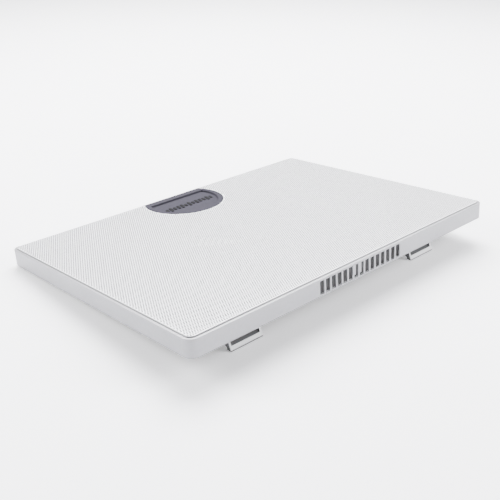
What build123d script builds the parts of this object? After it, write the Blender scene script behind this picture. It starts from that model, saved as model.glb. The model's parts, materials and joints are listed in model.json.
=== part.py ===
from build123d import *

import os
from math import atan2, copysign, cos, degrees, radians, sin, tan

# Laptop cooling pad: a shallow case under a perforated metal sheet, with one slim fan inside, air
# slots in its rear wall and two feet that fold out underneath and tip it towards its user.
#
# Every piece is drawn with the pad lying level: X to the user's right, Y to the rear, Z up, and
# z = 0 at the underside of the case. The feet are drawn folded in. The last section swings them
# out, stands the pad on them and writes the files. Lengths are in millimetres.

# Case
CASE_WIDTH, CASE_DEPTH = 370.0, 264.0
CASE_CORNER = 8.0
WALL = 2.2
RIM_TOP = 16.0
BOTTOM_ROUND, RIM_ROUND = 1.2, 0.5
FLOOR = 2.0  # thickness of the bottom cover
FLOOR_GAP = 0.2  # between the bottom cover and the walls

# Perforated sheet; its holes are too many for this model, which has it plain
SHEET_TOP = 17.0
SHEET_THICKNESS = 0.4
SHEET_INSET = 2.5  # from the case's outer face to the sheet's edge
SKIRT_BOTTOM = 14.6
SHEET_UNDER = SHEET_TOP - SHEET_THICKNESS

# Ledge inside the walls, which carries the sheet
LEDGE_BOTTOM, GROOVE_BOTTOM = 13.2, 14.4
LEDGE_OUTER_INSET, LEDGE_INNER_INSET = 3.4, 8.0
TAB_WIDTH, TAB_REACH = 8.0, 2.6
TAB_X, TAB_Y = 88.0, 80.0  # places along the long and the short sides

# Air slots in the rear wall
SLOT_COUNT, SLOT_PITCH, SLOT_WIDTH = 15, 7.0, 5.1
SLOT_BOTTOM, SLOT_TOP = 2.0, 14.1
SLOT_WALL = 1.0  # thickness of the rear wall where the slots are

# Screws
SCREW_RADIUS, SCREW_HOLE_RADIUS = 1.25, 1.30
SCREW_HEAD_RADIUS = 2.5
BOSS_RADIUS = 3.5
BOSS_INSET = 9.0
SIDE_BOSS_X = 68.0

# Badge: a disc cut off straight by the front edge of the sheet
BADGE_RADIUS, BADGE_DEPTH = 41.5, 63.5
BADGE_GAP = 0.25
BADGE_RIM, BADGE_BAND = 5.5, 9.5
BADGE_UNDER, BADGE_DISH, BADGE_TOP = 13.4, 15.2, 17.2
ORNAMENT_BARS, ORNAMENT_LENGTH, ORNAMENT_HEIGHT = 13, 57.0, 11.0
ORNAMENT_FROM_FRONT = 31.0

# Fan
FAN_Y = 12.0
FAN_BASE, FAN_TOP = 3.0, 13.0
SHROUD_RADIUS, SHROUD_WALL = 66.0, 2.4
BLADE_TIP_RADIUS, BLADE_COUNT = 64.4, 9
HUB_RADIUS, HUB_WALL = 21.0, 1.5
HUB_BASE, HUB_TOP = 5.6, 12.8
SHAFT_RADIUS, BEARING_CLEARANCE = 1.5, 0.03
FAN_EAR_RADIUS = 74.5

# Feet that fold out
FOOT_X = 114.3
FOOT_WIDTH = 34.0
FOOT_FOLD = 27.0  # degrees from folded in to standing
HINGE_HEIGHT = 5.0
PIN_RADIUS, PIN_CLEARANCE = 1.5, 0.05
BARREL_RADIUS = 3.2
FOOT_TIP_INSET = 20.5  # from the case's rear face to the standing foot's tip
FOOT_TIP_DROP = 23.5  # from the case's underside to the standing foot's tip
TIP_HEIGHT = 2.2  # of the tip above the case's underside, folded in
FOOT_NOSE_ANGLE = 43.0
WELL_CLEARANCE, WELL_WALL, WELL_CEILING = 0.8, 1.6, 11.0

# Rubber feet under the case
RUBBER_RADIUS, RUBBER_DROP, RUBBER_SEAT = 6.0, 2.0, 0.5
RUBBER_X, RUBBER_FRONT_Y, RUBBER_REAR_Y = 163.0, -118.0, 112.0

# Control board behind the left wall
BOARD_X, BOARD_Y = -171.6, 6.0
BOARD_WIDTH, BOARD_LENGTH, BOARD_BASE, BOARD_THICKNESS = 19.0, 46.0, 5.0, 1.2
BOARD_TOP = BOARD_BASE + BOARD_THICKNESS
INLET_Y, SWITCH_Y = -6.0, 16.0
SWITCH_TRAVEL = 2.0
INLET_WIDTH, INLET_HEIGHT = 7.7, 3.9

# Smaller dimensions
RIB_X, RIB_WIDTH, RIB_THICKNESS, RIB_BOTTOM = (0.5, 7.5), 2.2, 1.6, 4.4
SHEET_BEND = 0.9
BADGE_ROUND, BADGE_FLANGE = 0.6, 2.0
ORNAMENT_BAR_WIDTH, ORNAMENT_RELIEF = 2.9, 0.5
HEAD_HEIGHT = 1.4
SCREW_HOLE_DEPTH, SCREW_LENGTH = 8.0, 7.0  # above the bottom cover
GRILLE_RADIUS, GRILLE_RINGS, GRILLE_PITCH, GRILLE_OPENING = 63.0, 8, 6.0, 3.8
GRILLE_SPOKES, GRILLE_SPOKE = 8, 3.0
EAR_HEIGHT, HUB_PLATE, STRUT_WIDTH, STRUT_HEIGHT = 3.0, 1.2, 4.2, 1.8
BEARING_POST_RADIUS, BEARING_RADIUS, BEARING_TOP, SHAFT_TOP = 4.0, 2.5, 10.0, 12.2
STATOR_RADIUS, STATOR_GAP, STATOR_BOTTOM, STATOR_HEIGHT, STATOR_ARM = 16.2, 0.6, 6.2, 3.2, 3.2
WINDING_RADIUS = 10.2
BLADE_BASE, BLADE_RISE, BLADE_THICKNESS, BLADE_CAMBER, BLADE_SWEEP = 5.3, 5.4, 1.2, 0.5, 14.0
SWITCH_GAP, KNOB_WIDTH, KNOB_HEIGHT, SWITCH_CAVITY = 0.35, 2.6, 2.0, 2.2
SWITCH_SLOT = KNOB_WIDTH + SWITCH_TRAVEL + 2 * SWITCH_GAP
SWITCH_FACE = BOARD_X - BOARD_WIDTH / 2 + 0.2
KNOB_Z = BOARD_TOP + 2.0
RECESS_LENGTH, RECESS_HEIGHT, RECESS_DEPTH, RECESS_TAPER = 18.0, 6.4, 1.2, 20.0
FOOT_PLATE_BOTTOM, FOOT_PLATE, CHEEK, CHEEK_TOP = 2.0, 2.2, 1.8, 10.2
NOSE_TOP, NOSE_LENGTH, HEEL = 5.2, 5.0, 4.2
SOLE_LENGTH, SOLE_THICKNESS = 5.2, 0.9
WELL_FRONT = 6.6

HALF_WIDTH, HALF_DEPTH = CASE_WIDTH / 2, CASE_DEPTH / 2
SHEET_FRONT = SHEET_INSET - HALF_DEPTH
BADGE_Y = SHEET_FRONT + BADGE_DEPTH - BADGE_RADIUS

# The foot's hinge and its length follow from where its tip stands.
fold = radians(FOOT_FOLD)
TIP_Y = HALF_DEPTH - FOOT_TIP_INSET
FOOT_LENGTH = (
    HINGE_HEIGHT + FOOT_TIP_DROP - (HINGE_HEIGHT - TIP_HEIGHT) * cos(fold)
) / sin(fold)
HINGE_Y = TIP_Y - FOOT_LENGTH * cos(fold) + (HINGE_HEIGHT - TIP_HEIGHT) * sin(fold)

# The pad leans on the front edges of its front rubber feet and on the tips of its rear feet.
LEAN_Y = RUBBER_FRONT_Y - RUBBER_RADIUS
TILT = degrees(atan2(FOOT_TIP_DROP - RUBBER_DROP, TIP_Y - LEAN_Y))


def slab(inset, bottom, top, mode=Mode.ADD):
    """Adds or cuts a plate with rounded corners that stays this far inside the case's outline."""
    with BuildSketch(Plane.XY.offset(bottom)) as outline:
        radius = max(CASE_CORNER - inset, 1.0)
        RectangleRounded(CASE_WIDTH - 2 * inset, CASE_DEPTH - 2 * inset, radius)
    extrude(outline.sketch, amount=top - bottom, mode=mode)


def block(x, y, z, mode=Mode.ADD):
    """Adds or cuts a box given by its two ends along each axis."""
    with Locations(tuple((a + b) / 2 for a, b in (x, y, z))):
        Box(*(abs(b - a) for a, b in (x, y, z)), mode=mode)


def post(places, radius, bottom, top, mode=Mode.ADD):
    """Adds or cuts an upright cylinder at each (x, y)."""
    with Locations(*[(x, y, (bottom + top) / 2) for x, y in places]):
        Cylinder(radius, top - bottom, mode=mode)


def by_tab(tab, near, far, length, bottom, top, mode=Mode.ADD):
    """Adds or cuts a box where a tab of the sheet is, between two insets from the case's outer face."""
    x, y, long_side = tab
    if long_side:
        ends = [copysign(HALF_DEPTH - inset, y) for inset in (near, far)]
        block((x - length / 2, x + length / 2), ends, (bottom, top), mode)
    else:
        ends = [copysign(HALF_WIDTH - inset, x) for inset in (near, far)]
        block(ends, (y - length / 2, y + length / 2), (bottom, top), mode)


def badge_outline(radius, front, height):
    """A disc about the badge's centre, cut off straight at y = front."""
    with BuildSketch(Plane.XY.offset(height)) as outline:
        with Locations((0, BADGE_Y)):
            Circle(radius)
        with Locations((0, front)):
            Rectangle(4 * radius, 4 * radius, align=(Align.CENTER, Align.MAX), mode=Mode.SUBTRACT)
    return outline.sketch


def side_profile(points, middle, width):
    """Adds a solid of this width in X whose outline, seen from the side, goes through (y, z) points."""
    with BuildSketch(Plane.YZ.offset(middle - width / 2)) as outline:
        Polygon(*points, align=None)
    extrude(outline.sketch, amount=width)


def bar_across(middle, width, radius, mode=Mode.ADD):
    """Adds or cuts a round bar along a foot's hinge."""
    with Locations(Location((middle, HINGE_Y, HINGE_HEIGHT), (0, 90, 0))):
        Cylinder(radius, width, mode=mode)


# Places that several pieces share
boss_x = HALF_WIDTH - BOSS_INSET
boss_y = HALF_DEPTH - BOSS_INSET
BOSSES = [(sx * x, sy * boss_y) for x in (boss_x, SIDE_BOSS_X) for sx in (-1, 1) for sy in (-1, 1)]
FAN_EARS = [
    (FAN_EAR_RADIUS * cos(radians(a)), FAN_Y + FAN_EAR_RADIUS * sin(radians(a)))
    for a in (45, 135, 225, 315)
]
BOARD_SCREWS = [(BOARD_X + 6.0, BOARD_Y + s * (BOARD_LENGTH / 2 - 3.5)) for s in (-1, 1)]
RUBBER_FRONT = [(-RUBBER_X, RUBBER_FRONT_Y), (RUBBER_X, RUBBER_FRONT_Y)]
RUBBER_REAR = [(-RUBBER_X, RUBBER_REAR_Y), (RUBBER_X, RUBBER_REAR_Y)]
TABS = [(sx * TAB_X, sy * HALF_DEPTH, True) for sx in (-1, 1) for sy in (-1, 1)]
TABS += [(sx * HALF_WIDTH, sy * TAB_Y, False) for sx in (-1, 1) for sy in (-1, 1)]
FAN_CENTRE = [(0, FAN_Y)]
OUTSIDE_LEFT = -HALF_WIDTH

# The fan's lead runs along a strut, out through the shroud and over the floor to the board.
LEAD_RADIUS, LEAD_HEIGHT, LEAD_PLUG_HEIGHT = 0.7, 4.15, 8.4
PLUG_X, PLUG_Y = BOARD_X + BOARD_WIDTH / 2 - 0.4, BOARD_Y
LEAD_ROUTE = [
    (-19.4, FAN_Y, LEAD_HEIGHT),
    (-78.0, FAN_Y, LEAD_HEIGHT),
    (-106.0, FAN_Y - 9.0, LEAD_HEIGHT),
    (-131.0, PLUG_Y - 2.0, LEAD_HEIGHT),
    (-148.0, PLUG_Y, LEAD_PLUG_HEIGHT),
    (PLUG_X, PLUG_Y, LEAD_PLUG_HEIGHT),
]


# ---------------------------------------------------------------- case

with BuildPart() as side_frame:
    slab(0, 0, RIM_TOP)
    fillet(side_frame.edges().group_by(Axis.Z)[0], BOTTOM_ROUND)
    fillet(side_frame.edges().group_by(Axis.Z)[-1], RIM_ROUND)
    slab(WALL, 0, LEDGE_BOTTOM, Mode.SUBTRACT)
    slab(WALL, GROOVE_BOTTOM, SHEET_TOP, Mode.SUBTRACT)
    slab(LEDGE_OUTER_INSET, GROOVE_BOTTOM, SHEET_UNDER)
    slab(LEDGE_INNER_INSET, 0, SHEET_TOP, Mode.SUBTRACT)
    post(BOSSES, BOSS_RADIUS, FLOOR, GROOVE_BOTTOM)
    post(BOSSES, SCREW_HOLE_RADIUS, FLOOR, FLOOR + SCREW_HOLE_DEPTH, Mode.SUBTRACT)
    # Air slots in a thinner stretch of the wall, and two short ribs that hang behind them
    slots_end = SLOT_COUNT * SLOT_PITCH / 2
    thinned = (HALF_DEPTH - WALL, HALF_DEPTH - SLOT_WALL)
    block((-slots_end, slots_end), thinned, (SLOT_BOTTOM, LEDGE_BOTTOM), Mode.SUBTRACT)
    with Locations((0, HALF_DEPTH, (SLOT_BOTTOM + SLOT_TOP) / 2)):
        with GridLocations(SLOT_PITCH, 1, SLOT_COUNT, 1):
            Box(SLOT_WIDTH, 2 * WALL, SLOT_TOP - SLOT_BOTTOM, mode=Mode.SUBTRACT)
    rib_face = HALF_DEPTH - SLOT_WALL
    for x in RIB_X:
        ends = (x - RIB_WIDTH / 2, x + RIB_WIDTH / 2)
        block(ends, (rib_face - RIB_THICKNESS, rib_face), (RIB_BOTTOM, SLOT_TOP))
    for tab in TABS:
        by_tab(tab, WALL, LEDGE_OUTER_INSET, TAB_WIDTH + 1, LEDGE_BOTTOM, GROOVE_BOTTOM, Mode.SUBTRACT)
    # Openings in the left wall: the inlet's mouth, and the switch's slot in a shallow thumb recess
    block(
        (OUTSIDE_LEFT - 1, OUTSIDE_LEFT + WALL + 1),
        (INLET_Y - INLET_WIDTH / 2 - 0.4, INLET_Y + INLET_WIDTH / 2 + 0.4),
        (BOARD_TOP - 0.4, BOARD_TOP + INLET_HEIGHT + 0.4),
        Mode.SUBTRACT,
    )
    with BuildSketch(Plane.YZ.offset(OUTSIDE_LEFT)) as recess:
        with Locations((SWITCH_Y, KNOB_Z)):
            SlotOverall(RECESS_LENGTH, RECESS_HEIGHT)
    extrude(recess.sketch, amount=RECESS_DEPTH, taper=RECESS_TAPER, mode=Mode.SUBTRACT)
    block(
        (OUTSIDE_LEFT - 1, OUTSIDE_LEFT + WALL + 1),
        (SWITCH_Y - SWITCH_SLOT / 2, SWITCH_Y + SWITCH_SLOT / 2),
        (KNOB_Z - KNOB_HEIGHT / 2 - SWITCH_GAP, KNOB_Z + KNOB_HEIGHT / 2 + SWITCH_GAP),
        Mode.SUBTRACT,
    )
side_frame.part.label = "side_frame"

well_side = FOOT_WIDTH / 2 + WELL_CLEARANCE
well_front = HINGE_Y - WELL_FRONT
well_rear = HINGE_Y + FOOT_LENGTH + WELL_CLEARANCE
with BuildPart() as bottom_cover:
    slab(WALL + FLOOR_GAP, 0, FLOOR)
    # A well for each foot, with the hinge pin through its side walls
    for side in (-1, 1):
        x = side * FOOT_X
        outer = well_side + WELL_WALL
        block((x - outer, x + outer), (well_front - WELL_WALL, well_rear + WELL_WALL),
              (0, WELL_CEILING + WELL_WALL))
        block((x - well_side, x + well_side), (well_front, well_rear), (0, WELL_CEILING), Mode.SUBTRACT)
        bar_across(x, 2 * outer, PIN_RADIUS, Mode.SUBTRACT)
    # Intake grille: rings of openings, crossed by spokes
    with BuildSketch() as openings:
        with Locations((0, FAN_Y)):
            for ring in range(GRILLE_RINGS):
                outer = GRILLE_RADIUS - ring * GRILLE_PITCH
                Circle(outer)
                Circle(outer - GRILLE_OPENING, mode=Mode.SUBTRACT)
            with PolarLocations(GRILLE_RADIUS / 2, GRILLE_SPOKES, start_angle=22.5):
                Rectangle(GRILLE_RADIUS + 2, GRILLE_SPOKE, mode=Mode.SUBTRACT)
    extrude(openings.sketch, amount=FLOOR, mode=Mode.SUBTRACT)
    post(FAN_EARS, BOSS_RADIUS + 1, FLOOR, FAN_BASE)
    post(FAN_EARS, SCREW_HOLE_RADIUS, 0.8, FAN_BASE, Mode.SUBTRACT)
    post(BOARD_SCREWS, BOSS_RADIUS - 0.9, FLOOR, BOARD_BASE)
    post(BOARD_SCREWS, SCREW_HOLE_RADIUS, 1.0, BOARD_BASE, Mode.SUBTRACT)
    post(BOSSES, SCREW_HOLE_RADIUS, 0, FLOOR, Mode.SUBTRACT)
    with Locations(*[(x, y, HEAD_HEIGHT / 2) for x, y in BOSSES]):
        Cone(SCREW_HEAD_RADIUS + 0.1, SCREW_HOLE_RADIUS, HEAD_HEIGHT, mode=Mode.SUBTRACT)
    post(RUBBER_FRONT + RUBBER_REAR, RUBBER_RADIUS + 0.1, 0, RUBBER_SEAT, Mode.SUBTRACT)
    # Clips that hold the fan's lead: a post on each side of it
    for x, y, z in (LEAD_ROUTE[1], LEAD_ROUTE[3]):
        for side in (-1, 1):
            centre = y + side * (LEAD_RADIUS + 1.3)
            block((x + 5, x + 8), (centre - 0.6, centre + 0.6), (FLOOR, z + LEAD_RADIUS + 0.8))
bottom_cover.part.label = "bottom_cover"

with BuildPart() as top_mesh:
    slab(SHEET_INSET, SKIRT_BOTTOM, SHEET_TOP)
    fillet(top_mesh.edges().group_by(Axis.Z)[-1], SHEET_BEND)
    slab(SHEET_INSET + SHEET_THICKNESS, SKIRT_BOTTOM, SHEET_UNDER, Mode.SUBTRACT)
    for tab in TABS:
        inner = SHEET_INSET + SHEET_THICKNESS
        bend = LEDGE_BOTTOM - SHEET_THICKNESS
        by_tab(tab, SHEET_INSET, inner, TAB_WIDTH, bend, SKIRT_BOTTOM)
        by_tab(tab, inner, SHEET_INSET + TAB_REACH, TAB_WIDTH, bend, LEDGE_BOTTOM)
    notch = badge_outline(BADGE_RADIUS, -CASE_DEPTH, SKIRT_BOTTOM)
    extrude(notch, amount=SHEET_TOP - SKIRT_BOTTOM, mode=Mode.SUBTRACT)
top_mesh.part.label = "top_mesh"

ledge_front = LEDGE_INNER_INSET + 0.3 - HALF_DEPTH
with BuildPart() as front_badge:
    body = badge_outline(BADGE_RADIUS - BADGE_GAP, SHEET_FRONT, BADGE_UNDER)
    extrude(body, amount=BADGE_TOP - BADGE_UNDER)
    fillet(front_badge.edges().group_by(Axis.Z)[-1], BADGE_ROUND)
    # A flange under the sheet; the front of the badge is a lip that lies over the ledge
    flange = badge_outline(BADGE_RADIUS + BADGE_FLANGE, ledge_front, BADGE_DISH - 0.4)
    extrude(flange, amount=SHEET_UNDER - BADGE_DISH + 0.4)
    block(
        (-BADGE_RADIUS, BADGE_RADIUS), (-HALF_DEPTH, ledge_front), (BADGE_UNDER, SHEET_UNDER), Mode.SUBTRACT
    )
    lip = BADGE_RADIUS - 8.0
    block((-lip, lip), (SHEET_FRONT, SHEET_FRONT + 0.7), (SKIRT_BOTTOM, SHEET_UNDER + 0.2))
    dish = badge_outline(BADGE_RADIUS - BADGE_RIM, SHEET_FRONT + BADGE_BAND, BADGE_DISH)
    extrude(dish, amount=BADGE_TOP - BADGE_DISH, mode=Mode.SUBTRACT)
front_badge.part.label = "front_badge"

with BuildPart() as badge_ornament:
    bar_pitch = ORNAMENT_LENGTH / (ORNAMENT_BARS - 1)
    for bar in range(ORNAMENT_BARS):
        x = bar * bar_pitch - ORNAMENT_LENGTH / 2
        height = ORNAMENT_HEIGHT * (0.6 + 0.4 * sin(radians(bar * 75)) ** 2)
        with BuildSketch(Plane.XY.offset(BADGE_DISH)) as outline:
            with Locations(Location((x, SHEET_FRONT + ORNAMENT_FROM_FRONT), (0, 0, -15))):
                SlotOverall(height, ORNAMENT_BAR_WIDTH, rotation=90)
        extrude(outline.sketch, amount=ORNAMENT_RELIEF)
badge_ornament.part.label = "badge_ornament"

with BuildPart() as case_screws:
    with Locations(*[(x, y, (HEAD_HEIGHT + 0.1) / 2) for x, y in BOSSES]):
        Cone(SCREW_HEAD_RADIUS, SCREW_RADIUS, HEAD_HEIGHT - 0.1)
    post(BOSSES, SCREW_RADIUS, HEAD_HEIGHT, FLOOR + SCREW_LENGTH)
    with Locations(*[(x, y, 0.1) for x, y in BOSSES]):
        Box(2.6, 0.6, 1.0, mode=Mode.SUBTRACT)
        Box(0.6, 2.6, 1.0, mode=Mode.SUBTRACT)
case_screws.part.label = "case_screws"

with BuildPart() as front_rubber_feet:
    post(RUBBER_FRONT, RUBBER_RADIUS, -RUBBER_DROP, RUBBER_SEAT)
front_rubber_feet.part.label = "front_rubber_feet"

with BuildPart() as rear_rubber_feet:
    post(RUBBER_REAR, RUBBER_RADIUS, -RUBBER_DROP, RUBBER_SEAT)
rear_rubber_feet.part.label = "rear_rubber_feet"


# ---------------------------------------------------------------- fan

with BuildPart() as fan_frame:
    shroud_outer = SHROUD_RADIUS + SHROUD_WALL
    post(FAN_CENTRE, shroud_outer, FAN_BASE, FAN_TOP)
    with Locations((0, FAN_Y, FAN_BASE + EAR_HEIGHT / 2)):
        with PolarLocations(FAN_EAR_RADIUS - 4, 4, start_angle=45):
            Box(8, 10, EAR_HEIGHT)
    post(FAN_EARS, 5, FAN_BASE, FAN_BASE + EAR_HEIGHT)
    post(FAN_EARS, SCREW_HOLE_RADIUS + 0.3, FAN_BASE, FAN_BASE + EAR_HEIGHT, Mode.SUBTRACT)
    post(FAN_CENTRE, SHROUD_RADIUS, FAN_BASE, FAN_TOP, Mode.SUBTRACT)
    post(FAN_CENTRE, HUB_RADIUS + 1, FAN_BASE, FAN_BASE + HUB_PLATE)
    with Locations((0, FAN_Y, FAN_BASE + STRUT_HEIGHT / 2)):
        with PolarLocations((SHROUD_RADIUS + HUB_RADIUS) / 2, 4):
            Box(SHROUD_RADIUS - HUB_RADIUS + 2, STRUT_WIDTH, STRUT_HEIGHT)
    # A groove for the lead along the left strut and out through the shroud
    block(
        (-shroud_outer - 1, 2.2 - HUB_RADIUS),
        (FAN_Y - LEAD_RADIUS - 0.2, FAN_Y + LEAD_RADIUS + 0.2),
        (LEAD_HEIGHT - LEAD_RADIUS - 0.05, FAN_BASE + STRUT_HEIGHT + 0.1),
        Mode.SUBTRACT,
    )
    bearing_base = FAN_BASE + HUB_PLATE
    post(FAN_CENTRE, BEARING_POST_RADIUS, bearing_base, BEARING_TOP)
    post(FAN_CENTRE, BEARING_RADIUS, bearing_base, BEARING_TOP, Mode.SUBTRACT)
fan_frame.part.label = "fan_frame"

with BuildPart() as fan_bearing:
    post(FAN_CENTRE, BEARING_RADIUS, bearing_base, BEARING_TOP)
    post(FAN_CENTRE, SHAFT_RADIUS + BEARING_CLEARANCE, bearing_base, BEARING_TOP, Mode.SUBTRACT)
fan_bearing.part.label = "fan_bearing"

with BuildPart() as fan_board:
    post(FAN_CENTRE, HUB_RADIUS - 2, bearing_base, bearing_base + 0.8)
    post(FAN_CENTRE, BEARING_POST_RADIUS, bearing_base, bearing_base + 0.8, Mode.SUBTRACT)
fan_board.part.label = "fan_board"

with BuildPart() as fan_stator:
    with BuildSketch(Plane.XY.offset(STATOR_BOTTOM)) as core:
        with Locations((0, FAN_Y)):
            Circle(STATOR_RADIUS)
            Circle(STATOR_RADIUS - 2.4, mode=Mode.SUBTRACT)
            with PolarLocations(STATOR_RADIUS, 4, start_angle=45):
                Rectangle(8, 4, mode=Mode.SUBTRACT)
            with PolarLocations(STATOR_RADIUS / 2, 4):
                Rectangle(STATOR_RADIUS - 2, STATOR_ARM)
            Circle(BEARING_POST_RADIUS + 2.4)
            Circle(BEARING_POST_RADIUS, mode=Mode.SUBTRACT)
    extrude(amount=STATOR_HEIGHT)
fan_stator.part.label = "fan_stator"

with BuildPart() as fan_windings:
    with Locations((0, FAN_Y, STATOR_BOTTOM + STATOR_HEIGHT / 2)):
        with PolarLocations(WINDING_RADIUS, 4):
            Box(5.0, STATOR_ARM + 3.4, STATOR_HEIGHT + 1.4)
            Box(5.0, STATOR_ARM, STATOR_HEIGHT, mode=Mode.SUBTRACT)
fan_windings.part.label = "fan_windings"

with BuildPart() as fan_rotor:
    blade_middle = BLADE_BASE + BLADE_RISE / 2
    for blade in range(BLADE_COUNT):
        faces = []
        for radius, chord, lag in ((HUB_RADIUS - 1, 12.0, 0), (SHROUD_RADIUS, 33.0, BLADE_SWEEP)):
            angle = radians(blade * 360 / BLADE_COUNT - lag)
            outward = Vector(cos(angle), sin(angle), 0)
            across = Vector(-sin(angle), cos(angle), 0)
            centre = outward * radius + Vector(0, FAN_Y, blade_middle)
            low, high = (-chord / 2, -BLADE_RISE / 2), (chord / 2, BLADE_RISE / 2)
            with BuildSketch(Plane(centre, x_dir=across, z_dir=outward)) as section:
                with BuildLine():
                    under = ThreePointArc(low, (0, BLADE_CAMBER), high)
                    upper = ThreePointArc(
                        (low[0], low[1] + BLADE_THICKNESS),
                        (0, BLADE_CAMBER + BLADE_THICKNESS),
                        (high[0], high[1] + BLADE_THICKNESS),
                    )
                    Line(under @ 0, upper @ 0)
                    Line(under @ 1, upper @ 1)
                make_face()
            faces.append(section.sketch)
        loft(faces)
    post(FAN_CENTRE, BLADE_TIP_RADIUS, 0, SHEET_TOP, Mode.INTERSECT)
    post(FAN_CENTRE, HUB_RADIUS, HUB_BASE, HUB_TOP)
    fillet(fan_rotor.edges().filter_by(GeomType.CIRCLE).group_by(Axis.Z)[-1], 1.0)
    post(FAN_CENTRE, HUB_RADIUS - HUB_WALL, HUB_BASE, HUB_TOP - HUB_WALL, Mode.SUBTRACT)
    post(FAN_CENTRE, BEARING_POST_RADIUS, HUB_TOP - HUB_WALL - 0.8, HUB_TOP - HUB_WALL)
    post(FAN_CENTRE, SHAFT_RADIUS, HUB_BASE, SHAFT_TOP, Mode.SUBTRACT)
fan_rotor.part.label = "fan_rotor"

with BuildPart() as fan_magnet:
    post(FAN_CENTRE, HUB_RADIUS - HUB_WALL, HUB_BASE + 0.4, HUB_TOP - HUB_WALL - 0.3)
    inner = STATOR_RADIUS + STATOR_GAP
    post(FAN_CENTRE, inner, HUB_BASE + 0.4, HUB_TOP - HUB_WALL - 0.3, Mode.SUBTRACT)
fan_magnet.part.label = "fan_magnet"

with BuildPart() as fan_shaft:
    post(FAN_CENTRE, SHAFT_RADIUS, bearing_base + 0.3, SHAFT_TOP)
fan_shaft.part.label = "fan_shaft"

with BuildPart() as fan_screws:
    ear_top = FAN_BASE + EAR_HEIGHT
    post(FAN_EARS, SCREW_RADIUS, 1.0, ear_top)
    post(FAN_EARS, SCREW_HEAD_RADIUS, ear_top, ear_top + HEAD_HEIGHT)
    with Locations(*[(x, y, ear_top + HEAD_HEIGHT) for x, y in FAN_EARS]):
        Box(3.0, 0.6, 1.4, mode=Mode.SUBTRACT)
        Box(0.6, 3.0, 1.4, mode=Mode.SUBTRACT)
fan_screws.part.label = "fan_screws"


def bend_radii(route):
    """The radius of the arc at each corner of a route: as large as its two runs allow."""
    corners = [Vector(*point) for point in route]
    radii = []
    for before, corner, after in zip(corners, corners[1:], corners[2:]):
        turn = radians((corner - before).get_angle(after - corner))
        radii.append(0.45 * min((corner - before).length, (after - corner).length) / tan(turn / 2))
    return radii


lead_radii = bend_radii(LEAD_ROUTE)
with BuildPart() as fan_lead:
    with BuildLine():
        path = FilletPolyline(*LEAD_ROUTE, radius=lead_radii)
    with BuildSketch(Plane(path @ 0, z_dir=path % 0)):
        Circle(LEAD_RADIUS)
    sweep()
fan_lead.part.label = "fan_lead"


# ---------------------------------------------------------------- control board

with BuildPart() as control_board:
    ends = (BOARD_Y - BOARD_LENGTH / 2, BOARD_Y + BOARD_LENGTH / 2)
    block((BOARD_X - BOARD_WIDTH / 2, BOARD_X + BOARD_WIDTH / 2), ends, (BOARD_BASE, BOARD_TOP))
    post(BOARD_SCREWS, SCREW_HOLE_RADIUS, BOARD_BASE, BOARD_TOP, Mode.SUBTRACT)
control_board.part.label = "control_board"

with BuildPart() as board_screws:
    post(BOARD_SCREWS, SCREW_RADIUS, 1.4, BOARD_TOP)
    post(BOARD_SCREWS, SCREW_HEAD_RADIUS, BOARD_TOP, BOARD_TOP + HEAD_HEIGHT)
board_screws.part.label = "board_screws"

with BuildPart() as lead_connector:
    block((PLUG_X - 5, PLUG_X), (PLUG_Y - 3, PLUG_Y + 3), (BOARD_TOP, BOARD_TOP + 4.2))
lead_connector.part.label = "lead_connector"

inlet_mouth = OUTSIDE_LEFT + 0.5
inlet_back = inlet_mouth + 9.0
inlet_middle = BOARD_TOP + INLET_HEIGHT / 2
with BuildPart() as usb_inlet:
    ends = (INLET_Y - INLET_WIDTH / 2, INLET_Y + INLET_WIDTH / 2)
    block((inlet_mouth, inlet_back), ends, (BOARD_TOP, BOARD_TOP + INLET_HEIGHT))
    fillet(usb_inlet.edges().filter_by(Axis.X), 0.8)
    shell = 0.4
    block(
        (inlet_mouth, inlet_back - 1.0),
        (ends[0] + shell, ends[1] - shell),
        (BOARD_TOP + shell, BOARD_TOP + INLET_HEIGHT - shell),
        Mode.SUBTRACT,
    )
usb_inlet.part.label = "usb_inlet"

with BuildPart() as usb_tongue:
    block(
        (inlet_mouth + 1.5, inlet_back - 1.0),
        (INLET_Y - 2.7, INLET_Y + 2.7),
        (inlet_middle - 0.5, inlet_middle + 0.5),
    )
usb_tongue.part.label = "usb_tongue"

slot_reach = SWITCH_SLOT / 2
knob_y = SWITCH_Y - SWITCH_TRAVEL / 2
with BuildPart() as switch_housing:
    block((SWITCH_FACE, SWITCH_FACE + 4.6), (SWITCH_Y - 4.6, SWITCH_Y + 4.6), (BOARD_TOP, BOARD_TOP + 4.0))
    block(
        (SWITCH_FACE, SWITCH_FACE + SWITCH_CAVITY),
        (SWITCH_Y - slot_reach, SWITCH_Y + slot_reach),
        (KNOB_Z - KNOB_HEIGHT / 2 - SWITCH_GAP, KNOB_Z + KNOB_HEIGHT / 2 + SWITCH_GAP),
        Mode.SUBTRACT,
    )
switch_housing.part.label = "switch_housing"

with BuildPart() as switch_knob:
    knob_face = OUTSIDE_LEFT + 0.3
    block(
        (knob_face, SWITCH_FACE + SWITCH_CAVITY - SWITCH_GAP),
        (knob_y - KNOB_WIDTH / 2, knob_y + KNOB_WIDTH / 2),
        (KNOB_Z - KNOB_HEIGHT / 2, KNOB_Z + KNOB_HEIGHT / 2),
    )
    for groove in (-0.6, 0.6):
        block(
            (knob_face, knob_face + 0.3),
            (knob_y + groove - 0.2, knob_y + groove + 0.2),
            (BOARD_TOP, BOARD_TOP + 4),
            Mode.SUBTRACT,
        )
switch_knob.part.label = "switch_knob"


# ---------------------------------------------------------------- feet that fold out

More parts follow.
